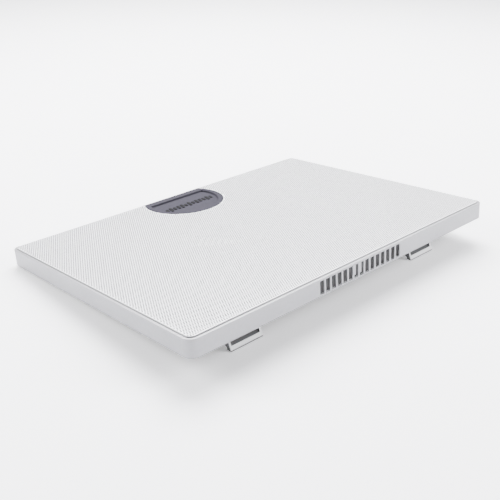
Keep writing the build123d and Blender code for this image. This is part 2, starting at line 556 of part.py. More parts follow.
# Seen from the side, folded in. The nose slopes; its rubber sole is level when the pad stands.
sole_angle = radians(FOOT_FOLD - TILT)
nose_angle = radians(FOOT_NOSE_ANGLE)
nose_run = 1 / tan(nose_angle)
tip = (HINGE_Y + FOOT_LENGTH, TIP_HEIGHT)
sole_front = (tip[0] - SOLE_LENGTH * cos(sole_angle), tip[1] - SOLE_LENGTH * sin(sole_angle))
sole_front_top = (sole_front[0], sole_front[1] + SOLE_THICKNESS / cos(sole_angle))
bonded = SOLE_THICKNESS / sin(sole_angle + nose_angle)
sole_rear_top = (tip[0] - bonded * cos(nose_angle), tip[1] + bonded * sin(nose_angle))


def on_nose(height):
    """The point of the sloping nose at this height."""
    return (tip[0] - (height - tip[1]) * nose_run, height)


plate_top = FOOT_PLATE_BOTTOM + FOOT_PLATE
nose_top = on_nose(NOSE_TOP)
underside = [
    (HINGE_Y, FOOT_PLATE_BOTTOM),
    (sole_front_top[0] - 1.5, FOOT_PLATE_BOTTOM),
    sole_front_top,
    sole_rear_top,
]
plate_outline = underside + [
    nose_top,
    (nose_top[0] - NOSE_LENGTH, NOSE_TOP),
    (nose_top[0] - NOSE_LENGTH - 1.0, plate_top),
    (HINGE_Y, plate_top),
]
cheek_outline = underside + [on_nose(CHEEK_TOP), (HINGE_Y, HINGE_HEIGHT + BARREL_RADIUS)]
heel = (HINGE_Y - HEEL, HINGE_Y), (HINGE_HEIGHT, HINGE_HEIGHT + HEEL)


def foot_on(side):
    """One foot, folded in: a tray with a sloping nose, a hinge barrel and a heel that stops it."""
    x = side * FOOT_X
    with BuildPart() as foot:
        side_profile(plate_outline, x, FOOT_WIDTH)
        for cheek in (-1, 1):
            side_profile(cheek_outline, x + cheek * (FOOT_WIDTH - CHEEK) / 2, CHEEK)
        for rib in (-1, 1):
            block(
                (x + rib * 5.5 - 0.7, x + rib * 5.5 + 0.7),
                (HINGE_Y, nose_top[0] - NOSE_LENGTH - 6),
                (plate_top - 0.5, plate_top + 2.5),
            )
        bar_across(x, FOOT_WIDTH, BARREL_RADIUS)
        block((x - FOOT_WIDTH / 3, x + FOOT_WIDTH / 3), *heel)
        bar_across(x, FOOT_WIDTH, PIN_RADIUS + PIN_CLEARANCE, Mode.SUBTRACT)
    return foot


def sole_on(side):
    """The rubber sole bonded to the slope under a foot's nose."""
    with BuildPart() as sole:
        side_profile([sole_front, tip, sole_rear_top, sole_front_top], side * FOOT_X, FOOT_WIDTH)
    return sole


def pin_on(side):
    """A foot's hinge pin, held in the side walls of its well."""
    with BuildPart() as pin:
        bar_across(side * FOOT_X, 2 * (well_side + WELL_WALL), PIN_RADIUS)
    return pin


left_foot, right_foot = foot_on(-1), foot_on(1)
left_foot_sole, right_foot_sole = sole_on(-1), sole_on(1)
left_foot_pin, right_foot_pin = pin_on(-1), pin_on(1)
left_foot.part.label, right_foot.part.label = "left_foot", "right_foot"
left_foot_sole.part.label, right_foot_sole.part.label = "left_foot_sole", "right_foot_sole"
left_foot_pin.part.label, right_foot_pin.part.label = "left_foot_pin", "right_foot_pin"


# ---------------------------------------------------------------- standing, and files

# Each foot swings down about its pin; then the whole pad is tipped, with the middle of its length
# and depth over the origin and its lowest points at z = 0.
tilt = radians(TILT)
lowest = LEAN_Y * sin(tilt) - RUBBER_DROP * cos(tilt)
rearmost = (HALF_DEPTH - BOTTOM_ROUND) * cos(tilt) - BOTTOM_ROUND * sin(tilt) + BOTTOM_ROUND
foremost = (RIM_ROUND - HALF_DEPTH) * cos(tilt) - (RIM_TOP - RIM_ROUND) * sin(tilt) - RIM_ROUND
STAND = Location((0, -(rearmost + foremost) / 2, -lowest), (TILT, 0, 0))
hinge = Location((0, HINGE_Y, HINGE_HEIGHT))
SWING = hinge * Location((0, 0, 0), (-FOOT_FOLD, 0, 0)) * hinge.inverse()

swinging = [left_foot, right_foot, left_foot_sole, right_foot_sole]
fixed = [
    side_frame, bottom_cover, top_mesh, front_badge, badge_ornament, case_screws,
    front_rubber_feet, rear_rubber_feet, left_foot_pin, right_foot_pin,
    fan_frame, fan_bearing, fan_board, fan_stator, fan_windings, fan_screws, fan_lead,
    fan_rotor, fan_magnet, fan_shaft,
    control_board, board_screws, lead_connector, usb_inlet, usb_tongue, switch_housing, switch_knob,
]
os.makedirs("parts", exist_ok=True)
for piece in fixed + swinging:
    place = STAND * SWING if piece in swinging else STAND
    standing = piece.part.moved(place)
    standing.label = piece.part.label
    export_step(standing, f"parts/{standing.label}.step")
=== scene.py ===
"""A laptop cooling pad on its fold-out feet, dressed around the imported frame.

Lengths are metres. Places on the pad are given in the pad's own level frame: X to the user's right,
Y to the rear and Z up from the sheet's top face, about the sheet's middle. PAD turns that into the
row frame, in which the pad leans on its rear feet.
"""

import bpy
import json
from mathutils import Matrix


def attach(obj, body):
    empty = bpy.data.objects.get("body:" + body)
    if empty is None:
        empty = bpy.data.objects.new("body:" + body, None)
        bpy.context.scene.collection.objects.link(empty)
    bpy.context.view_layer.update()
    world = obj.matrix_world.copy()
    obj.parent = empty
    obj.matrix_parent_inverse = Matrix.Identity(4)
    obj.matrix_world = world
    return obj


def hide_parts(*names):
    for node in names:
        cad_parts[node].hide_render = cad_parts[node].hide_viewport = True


bl_info = {
    "name": "Laptop cooling pad",
    "version": (1, 0, 0),
    "blender": (4, 5, 0),
    "location": "3D View > Sidebar > Cooling Pad",
    "description": "Builds the perforated sheet, badge, small fittings and finishes of a laptop cooling pad",
    "category": "Object",
}

import json
from math import ceil, cos, pi, radians, sin, sqrt

import bpy
import numpy as np
from bpy.props import FloatProperty, FloatVectorProperty, IntProperty, PointerProperty
from mathutils import Matrix, Quaternion, Vector

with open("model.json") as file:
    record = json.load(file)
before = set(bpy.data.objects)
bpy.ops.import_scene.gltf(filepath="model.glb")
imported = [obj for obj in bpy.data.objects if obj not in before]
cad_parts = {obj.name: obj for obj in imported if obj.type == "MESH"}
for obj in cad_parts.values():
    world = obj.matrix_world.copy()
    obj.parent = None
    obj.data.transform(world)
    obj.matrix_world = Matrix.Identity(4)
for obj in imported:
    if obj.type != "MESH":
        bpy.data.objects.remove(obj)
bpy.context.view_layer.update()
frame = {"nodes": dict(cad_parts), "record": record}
MM = 0.001


# ---------------------------------------------------------------- the pad's own frame

rest_mount = next(m for m in frame["record"]["mounts"] if m["name"] == "laptop_rest")
UP = Vector(rest_mount["axis"]).normalized()
RIGHT = Vector((1, 0, 0))
REAR = UP.cross(RIGHT)
TURN = Matrix((RIGHT, REAR, UP)).transposed()


def node_points(node):
    """A CAD node's vertices along the pad's own axes, from the row frame's origin."""
    return np.array([v.co for v in frame["nodes"][node].data.vertices]) @ np.array(TURN)


sheet_points = node_points("top_mesh")
sheet_low, sheet_high = sheet_points.min(0), sheet_points.max(0)
sheet_middle = (sheet_low + sheet_high) / 2
PAD = Matrix.Translation(TURN @ Vector((*sheet_middle[:2], sheet_high[2]))) @ TURN.to_4x4()
SHEET_LENGTH, SHEET_DEPTH = (sheet_high - sheet_low)[:2]


def pad_box(node):
    """(lowest, highest) corner of a CAD node in the pad's own frame."""
    points = node_points(node) - np.array([*sheet_middle[:2], sheet_high[2]])
    return points.min(0), points.max(0)


# ---------------------------------------------------------------- settings


def size(name, description, millimetres):
    return FloatProperty(
        name=name, description=description, default=millimetres * MM, subtype="DISTANCE", unit="LENGTH", min=0
    )


def colour(name, description, rgb):
    return FloatVectorProperty(
        name=name, description=description, default=rgb, size=3, subtype="COLOR", min=0, max=1
    )


class SheetSettings(bpy.types.PropertyGroup):
    pitch: size("Hole pitch", "Distance from one hole to the next along a row", 2.2575)
    hole: size("Hole width", "Diameter of each hole", 1.6)
    thickness: size("Thickness", "Thickness of the metal", 0.4)
    land: size("Plain edge", "Width of the plain metal outside the outermost holes", 0.6)
    web: size("Least metal", "Least metal between a hole and the plain edge", 0.1)
    corner: size("Corner radius", "Corner radius of the sheet's outline", 5.5)
    bend: size("Bend radius", "Outside radius where the edge is rolled down", 0.9)
    skirt: size("Skirt", "Depth of the rolled-down edge", 2.4)
    tiles: IntProperty(
        name="Tiles", description="Number of strips the perforated field is made in", default=7, min=1
    )


class BadgeSettings(bpy.types.PropertyGroup):
    radius: size("Notch radius", "Radius of the round notch in the sheet", 41.5)
    depth: size("Notch depth", "Depth of the notch from the sheet's front edge", 63.5)
    gap: size("Gap", "Gap between the badge and the notch", 0.25)
    rim: size("Rim", "Width of the rim around the dish", 5.5)
    band: size("Front band", "Width of the band in front of the dish", 9.5)
    relief: size("Relief", "Height of the rim above the sheet", 0.2)
    dish: size("Dish depth", "Depth of the dish below the rim", 2.0)


class FinishSettings(bpy.types.PropertyGroup):
    sheet: colour("Sheet", "Satin coat on the perforated sheet", (0.66, 0.66, 0.69))
    case: colour("Case", "Moulded plastic of the case", (0.27, 0.27, 0.285))
    cover: colour("Cover", "Moulded plastic of the bottom cover", (0.035, 0.035, 0.037))
    # painted light: the feet are given a paler plastic than the case, standing in for light on them
    feet: colour("Feet", "Moulded plastic of the feet", (0.8, 0.8, 0.82))
    badge: colour("Badge", "Moulded plastic of the badge", (0.036, 0.0345, 0.043))
    rubber: colour("Rubber", "Soles and rubber feet", (0.12, 0.12, 0.125))
    floor: colour("Floor", "Paper that the pad stands on", (0.9, 0.9, 0.93))


class StageSettings(bpy.types.PropertyGroup):
    eye: FloatVectorProperty(
        name="Eye", description="The camera's place in the pad's frame",
        default=(0.4634, 0.5168, 0.2618), subtype="TRANSLATION", unit="LENGTH",
    )
    aim: FloatVectorProperty(
        name="Aim", description="The point of the sheet that the camera looks at",
        default=(0.0473, 0.0454, 0), subtype="TRANSLATION", unit="LENGTH",
    )
    roll: FloatProperty(
        name="Roll", description="Turn about the view axis", default=radians(0.28), subtype="ANGLE"
    )
    lens: FloatProperty(name="Lens", description="Focal length in millimetres", default=56.0, min=1)


def settings(name):
    return getattr(bpy.context.scene, name)


# ---------------------------------------------------------------- node and mesh helpers


def add_node(tree, kind, links=None, **values):
    """A node with its properties set. links gives its inputs, each a constant or another node's socket."""
    node = tree.nodes.new(kind)
    for name, value in values.items():
        setattr(node, name, value)
    for key, value in (links or {}).items():
        socket = node.inputs[key]
        if isinstance(value, bpy.types.NodeSocket):
            tree.links.new(value, socket)
        else:
            socket.default_value = value
    return node


def finished_piece(name, mesh, body, material=None, smooth=None):
    """Makes a mesh, given in the pad's frame, a shown piece that rides on a body."""
    mesh.transform(PAD)
    mesh.name = name
    if material is not None:
        mesh.materials.clear()
        mesh.materials.append(material)
    if smooth is not None:
        mesh.shade_smooth()
        mesh.set_sharp_from_angle(angle=smooth)
    piece = bpy.data.objects.new(name, mesh)
    bpy.context.scene.collection.objects.link(piece)
    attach(piece, body)
    return piece


def mesh_of(points, faces):
    mesh = bpy.data.meshes.new("shape")
    mesh.from_pydata([tuple(p) for p in points], [], faces)
    mesh.update()
    return mesh


def loft(rings, closed_ring=True, caps=True):
    """Faces between rings that hold the same number of points, in order from one end to the other."""
    count = len(rings[0])
    points = [p for ring in rings for p in ring]
    faces = []
    steps = count if closed_ring else count - 1
    for ring in range(len(rings) - 1):
        low, high = ring * count, (ring + 1) * count
        for i in range(steps):
            j = (i + 1) % count
            faces.append((low + i, low + j, high + j, high + i))
    if caps:
        faces.append(tuple(reversed(range(count))))
        faces.append(tuple(range((len(rings) - 1) * count, len(rings) * count)))
    return mesh_of(points, faces)


# ---------------------------------------------------------------- finishes


def new_finish(name, rgb, roughness, metallic=0.0, coat=0.0, gloss=0.5):
    """A material whose even values are set on the shader itself."""
    material = bpy.data.materials.new(name)
    material.use_nodes = True
    shader = material.node_tree.nodes["Principled BSDF"]
    shader.inputs["Base Color"].default_value = (*rgb, 1)
    shader.inputs["Roughness"].default_value = roughness
    shader.inputs["Metallic"].default_value = metallic
    shader.inputs["Coat Weight"].default_value = coat
    shader.inputs["Specular IOR Level"].default_value = gloss
    return material, material.node_tree, shader


def place_socket(tree, stretch=(1, 1, 1)):
    """Object coordinates turned to the pad's own axes, and stretched along them."""
    coordinates = add_node(tree, "ShaderNodeTexCoord")
    turn = PAD.inverted()
    level = add_node(
        tree, "ShaderNodeMapping",
        {"Vector": coordinates.outputs["Object"], "Rotation": turn.to_euler(), "Location": turn.translation},
    )
    if stretch == (1, 1, 1):
        return level.outputs["Vector"]
    scaled = add_node(
        tree, "ShaderNodeMapping", {"Vector": level.outputs["Vector"], "Scale": stretch}
    )
    return scaled.outputs["Vector"]


def shades(rgb, spread):
    """Two colours, one darker and one lighter than rgb by this fraction."""
    return [tuple(min(1, c * (1 + sign * spread)) for c in rgb) + (1,) for sign in (-1, 1)]


def ramp_between(tree, factor, dark, light, low=0.0, high=1.0):
    """The colour that a factor picks between a dark and a light shade."""
    ramp = add_node(tree, "ShaderNodeValToRGB", {"Fac": factor})
    first, last = ramp.color_ramp.elements
    first.position, last.position = low, high
    first.color, last.color = dark, light
    return ramp.outputs["Color"]


def mottle(tree, shader, place, rgb, scale, spread, detail=4.0, blotch=None):
    """Colour that wanders between two close shades, with larger soft blotches if asked."""
    noise = add_node(tree, "ShaderNodeTexNoise", {"Vector": place, "Scale": scale, "Detail": detail})
    result = ramp_between(tree, noise.outputs["Fac"], *shades(rgb, spread), 0.3, 0.7)
    if blotch:
        wide = add_node(tree, "ShaderNodeTexNoise", {"Vector": place, "Scale": blotch, "Detail": 2.0})
        tint = add_node(
            tree, "ShaderNodeMapRange", {"Value": wide.outputs["Fac"], "To Min": 0.93, "To Max": 1.05}
        )
        result = blend(tree, 1.0, result, tint.outputs["Result"], "MULTIPLY")
    tree.links.new(result, shader.inputs["Base Color"])
    return noise


def blend(tree, factor, first, second, kind="MIX"):
    """A mix of two colours; the node's sockets for colours are its seventh and eighth."""
    links = {0: factor, 6: first, 7: second}
    return add_node(tree, "ShaderNodeMix", links, data_type="RGBA", blend_type=kind).outputs[2]


def vary_roughness(tree, shader, place, low, high, scale):
    noise = add_node(tree, "ShaderNodeTexNoise", {"Vector": place, "Scale": scale, "Detail": 3.0})
    span = add_node(
        tree, "ShaderNodeMapRange", {"Value": noise.outputs["Fac"], "To Min": low, "To Max": high}
    )
    tree.links.new(span.outputs["Result"], shader.inputs["Roughness"])


def grain(tree, shader, height, depth, strength=1.0):
    """Bump from a height socket; depth is the relief in metres."""
    bump = add_node(tree, "ShaderNodeBump", {"Height": height, "Distance": depth, "Strength": strength})
    tree.links.new(bump.outputs["Normal"], shader.inputs["Normal"])


def moulded_plastic(
    name, rgb, roughness=0.45, texture=1400, depth=0.00003, spread=0.03, metallic=0.0, gloss=0.5
):
    """Injection-moulded plastic: a fine spark-eroded grain and faint flow marks."""
    material, tree, shader = new_finish(name, rgb, roughness, metallic, gloss=gloss)
    place = place_socket(tree)
    mottle(tree, shader, place, rgb, 320, spread, blotch=14)
    vary_roughness(tree, shader, place, roughness - 0.06, roughness + 0.08, 60)
    speck = add_node(tree, "ShaderNodeTexNoise", {"Vector": place, "Scale": texture, "Detail": 6.0})
    grain(tree, shader, speck.outputs["Fac"], depth, 0.6)
    return material


def foot_plastic_painted_light_and_shade(name, rgb, inner):
    """Painted light: pale plastic on a foot's lip and underside; painted shade: dark inside its tray and on
    its cheeks.
    """
    material = moulded_plastic(name, rgb, 0.42)
    tree = material.node_tree
    shader = tree.nodes["Principled BSDF"]
    widest = max(frame["nodes"]["left_foot"].data.polygons, key=lambda face: face.area).normal
    floor = -widest if widest.z < 0 else widest
    normal = add_node(tree, "ShaderNodeTexCoord").outputs["Normal"]
    faces_up = vector_maths(tree, "DOT_PRODUCT", normal, tuple(floor), output="Value")
    faces_side = maths(
        tree, "ABSOLUTE", vector_maths(tree, "DOT_PRODUCT", normal, tuple(RIGHT), output="Value")
    )
    # painted shade: faces along the tray's floor and the cheeks' sides take the dark tone
    inside = maths(tree, "GREATER_THAN", maths(tree, "MAXIMUM", faces_up, faces_side), 0.9)
    pale = shader.inputs["Base Color"].links[0].from_socket
    tree.links.new(blend(tree, inside, pale, (*inner, 1)), shader.inputs["Base Color"])
    return material


def coated_metal(name, rgb, painted_hole_shade=None):
    """Satin silver coat on sheet metal: fine flakes, and faint streaks along the rolling direction.

    The last argument is the colour painted on the walls of the holes, a painted shade, so that the holes read
    as dark.
    """
    material, tree, shader = new_finish(name, rgb, 0.42, metallic=0.2)
    place = place_socket(tree)
    streaks = add_node(
        tree, "ShaderNodeTexNoise", {"Vector": place_socket(tree, (6, 220, 60)), "Scale": 3.0, "Detail": 3.0}
    )
    flakes = add_node(tree, "ShaderNodeTexVoronoi", {"Vector": place, "Scale": 2600})
    both = add_node(
        tree, "ShaderNodeMath", {0: streaks.outputs["Fac"], 1: flakes.outputs["Distance"]}, operation="ADD"
    )
    colour_socket = ramp_between(tree, both.outputs["Value"], *shades(rgb, 0.045), 0.45, 1.0)
    if painted_hole_shade:
        # painted shade: faces that do not face up, the walls of the holes, take the dark colour
        normal = add_node(tree, "ShaderNodeNewGeometry").outputs["True Normal"]
        level = maths(tree, "ABSOLUTE", vector_maths(tree, "DOT_PRODUCT", normal, tuple(UP), output="Value"))
        colour_socket = blend(tree, maths(tree, "GREATER_THAN", level, 0.7), (*painted_hole_shade, 1), colour_socket)
    tree.links.new(colour_socket, shader.inputs["Base Color"])
    vary_roughness(tree, shader, place, 0.38, 0.5, 90)
    grain(tree, shader, flakes.outputs["Distance"], 0.00001, 0.4)
    return material


def soft_rubber(name, rgb):
    material, tree, shader = new_finish(name, rgb, 0.8)
    place = place_socket(tree)
    mottle(tree, shader, place, rgb, 500, 0.12, blotch=60)
    ribs = add_node(
        tree, "ShaderNodeTexWave", {"Vector": place, "Scale": 260, "Distortion": 0.3}, bands_direction="Y"
    )
    grain(tree, shader, ribs.outputs["Fac"], 0.00015, 0.5)
    return material


def bare_metal(name, rgb, roughness, brush=(40, 900, 900)):
    """Turned or drawn metal with fine marks along one direction."""
    material, tree, shader = new_finish(name, rgb, roughness, metallic=1.0)
    marks = add_node(
        tree, "ShaderNodeTexNoise", {"Vector": place_socket(tree, brush), "Scale": 3.0, "Detail": 5.0}
    )
    tree.links.new(
        ramp_between(tree, marks.outputs["Fac"], *shades(rgb, 0.12)), shader.inputs["Base Color"]
    )
    span = add_node(
        tree, "ShaderNodeMapRange",
        {"Value": marks.outputs["Fac"], "To Min": roughness - 0.08, "To Max": roughness + 0.1},
    )
    tree.links.new(span.outputs["Result"], shader.inputs["Roughness"])
    grain(tree, shader, marks.outputs["Fac"], 0.00002, 0.4)
    return material


def wound_wire(name, rgb):
    """Enamelled wire wound side by side."""
    material, tree, shader = new_finish(name, rgb, 0.3, metallic=0.9, coat=0.5)
    turns = add_node(
        tree, "ShaderNodeTexWave",
        {"Vector": place_socket(tree), "Scale": 900, "Distortion": 0.6, "Detail": 1.0},
        bands_direction="DIAGONAL",
    )
    tree.links.new(
        ramp_between(tree, turns.outputs["Fac"], *shades(rgb, 0.35)), shader.inputs["Base Color"]
    )
    grain(tree, shader, turns.outputs["Fac"], 0.0001)
    return material


def circuit_board(name, rgb):
    """Green solder mask over faint copper tracks."""
    material, tree, shader = new_finish(name, rgb, 0.32, coat=0.3)
    tracks = add_node(
        tree, "ShaderNodeTexBrick",
        {
            "Vector": place_socket(tree), "Scale": 260, "Mortar Size": 0.06, "Color1": (*rgb, 1),
            "Color2": (rgb[0] * 0.7, rgb[1] * 0.8, rgb[2] * 0.7, 1),
            "Mortar": (rgb[0] * 2 + 0.02, min(1, rgb[1] * 1.9), rgb[2] * 1.6, 1),
        },
    )
    tree.links.new(tracks.outputs["Color"], shader.inputs["Base Color"])
    grain(tree, shader, tracks.outputs["Fac"], 0.00003)
    return material


def paper_floor(name, rgb):
    """Seamless paper: matt, with a barely visible fibre."""
    material, tree, shader = new_finish(name, rgb, 0.9)
    coordinates = add_node(tree, "ShaderNodeTexCoord")
    mottle(tree, shader, coordinates.outputs["Object"], rgb, 30, 0.006)
    shader.inputs["Emission Color"].default_value = (1, 1, 1, 1)
    shader.inputs["Emission Strength"].default_value = FLOOR_GLOW
    return material


BLACK = (0.022, 0.022, 0.024)
FOOT_PAINTED_SHADE = (0.13, 0.13, 0.135)  # painted shade inside a foot's tray and on its cheeks
# painted shade on the walls of the sheet's holes
HOLE_WALL_PAINTED_SHADE = (0.03, 0.03, 0.032)
ROLLED_EDGE_PAINTED_SHADE = 0.25  # painted shade on the rolled edge: its colour as a share of the sheet's
FLOOR_GLOW = 0.35


def make_finishes():
    """Every slot's material, by the slot's name."""
    finish = settings("pad_finish")
    case, badge, rubber = tuple(finish.case), tuple(finish.badge), tuple(finish.rubber)
    return {
        "case_plastic": moulded_plastic("silver case plastic", case, 0.42, metallic=0.5),
        # the feet's finish holds painted light on the lip and painted shade in the tray and on the cheeks
        "foot_plastic_painted_light_and_shade": foot_plastic_painted_light_and_shade("foot plastic with painted light and shade", tuple(finish.feet), FOOT_PAINTED_SHADE),
        "cover_plastic": moulded_plastic(
            "textured cover plastic", tuple(finish.cover), 0.6, 900, 0.00006, 0.05, gloss=0.2
        ),
        "sheet_metal": coated_metal("coated sheet", tuple(finish.sheet)),
        # painted shade: the rolled edge gets a darker copy of the sheet's coat
        "rolled_edge_painted_shade": coated_metal("rolled edge", tuple(ROLLED_EDGE_PAINTED_SHADE * c for c in finish.sheet)),
        # the perforated field's coat, with painted shade on the holes' walls
        "punched_sheet_painted_shade": coated_metal("punched sheet", tuple(finish.sheet), HOLE_WALL_PAINTED_SHADE),
        "badge_plastic": moulded_plastic("badge plastic", badge, 0.8, 1800, 0.00002, 0.05, gloss=0.0),
        "ornament_plastic": moulded_plastic(
            "black print", (0.004, 0.004, 0.005), 0.6, 600, 0.00001, 0.1, gloss=0.05
        ),
        "rubber": soft_rubber("grey rubber", rubber),
        "fan_plastic": moulded_plastic("black fan plastic", BLACK, 0.4, 700, 0.00003, 0.1),
        "steel": bare_metal("bright steel", (0.60, 0.60, 0.62), 0.25),
        "core_steel": bare_metal("stamped core steel", (0.25, 0.25, 0.27), 0.45, (90, 90, 4000)),
        "ferrite": moulded_plastic("ferrite", (0.05, 0.05, 0.052), 0.7, 500, 0.00006, 0.15),
        "copper": wound_wire("copper wire", (0.66, 0.28, 0.12)),
        "bronze": bare_metal("sintered bronze", (0.50, 0.34, 0.16), 0.45, (900, 900, 900)),
        "circuit_board": circuit_board("solder mask", (0.015, 0.14, 0.05)),
        "lead_sleeve": moulded_plastic("black vinyl", (0.02, 0.02, 0.02), 0.5, 900, 0.00003, 0.1),
        "connector_plastic": moulded_plastic("natural nylon", (0.70, 0.66, 0.58), 0.45, 700, 0.00003, 0.04),
        "inlet_steel": bare_metal("plated steel", (0.66, 0.66, 0.68), 0.2),
        "black_plastic": moulded_plastic("matt black plastic", BLACK, 0.5, 1200, 0.00003, 0.1),
    }


def slot_of(node):
    return next(s["material_slot"] for s in frame["record"]["subparts"] if s["node"] == node)


FINISHES = {}


class PAD_OT_finishes(bpy.types.Operator):
    """Makes the finishes and puts them on the parts of the frame"""

    bl_idname = "cooling_pad.finishes"
    bl_label = "Finishes"

    def execute(self, context):
        FINISHES.update(make_finishes())
        for name, node in frame["nodes"].items():
            node.data.materials.clear()
            # the feet take the finish with painted light and painted shade
            chosen = "foot_plastic_painted_light_and_shade" if name in ("left_foot", "right_foot") else slot_of(name)
            node.data.materials.append(FINISHES[chosen])
        return {"FINISHED"}


# ---------------------------------------------------------------- perforated sheet


def maths(tree, operation, *values):
    node = add_node(tree, "ShaderNodeMath", dict(enumerate(values)), operation=operation)
    return node.outputs["Value"]


def vector_maths(tree, operation, *values, output="Vector"):
    node = add_node(tree, "ShaderNodeVectorMath", dict(enumerate(values)), operation=operation)
    return node.outputs[output]


PERFORATION_INPUTS = [
    ("Columns", "NodeSocketInt"),
    ("Rows", "NodeSocketInt"),
    ("First Row", "NodeSocketInt"),
    ("Pitch", "NodeSocketFloat"),
    ("Hole Diameter", "NodeSocketFloat"),
    ("Thickness", "NodeSocketFloat"),
    ("Field Half Length", "NodeSocketFloat"),
    ("Field Half Depth", "NodeSocketFloat"),
    ("Field Corner Radius", "NodeSocketFloat"),
    ("Notch Radius", "NodeSocketFloat"),
    ("Notch Centre", "NodeSocketVector"),
    ("Edge Distance", "NodeSocketFloat"),
    ("Material", "NodeSocketMaterial"),
]
HOLE_SIDES = 8


